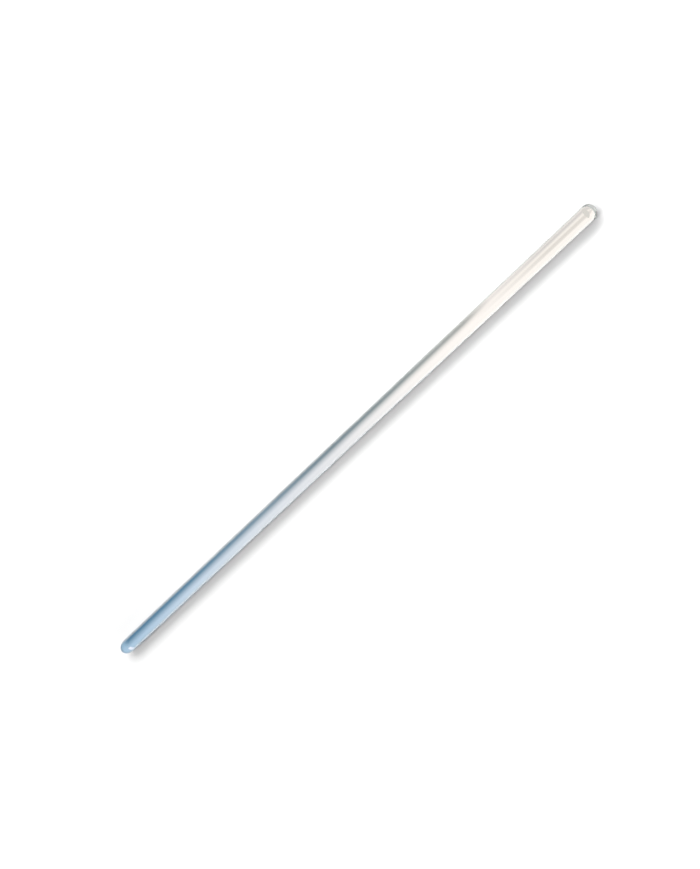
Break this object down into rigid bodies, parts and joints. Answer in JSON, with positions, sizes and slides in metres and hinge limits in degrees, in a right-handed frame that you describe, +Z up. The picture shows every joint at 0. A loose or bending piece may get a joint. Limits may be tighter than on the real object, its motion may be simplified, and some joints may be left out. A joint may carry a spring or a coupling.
{
  "type": "glass stirring rod",
  "caption": "Solid round glass rod with both ends rounded in a flame, for stirring liquids by hand.",
  "frame": {"origin": "centre of the rod: on its axis, midway between the two tips", "axes": "+X along the rod's axis towards the end with the shallower crown, +Y level across it, +Z up from the bench it lies on"},
  "size_m": [0.3, 0.006, 0.006],
  "materials": {
    "glass": "fire-polished clear glass, faintly blue, smooth and glossy"
  },
  "bodies": {
    "root": {"rod": "glass"}
  },
  "joints": []
}
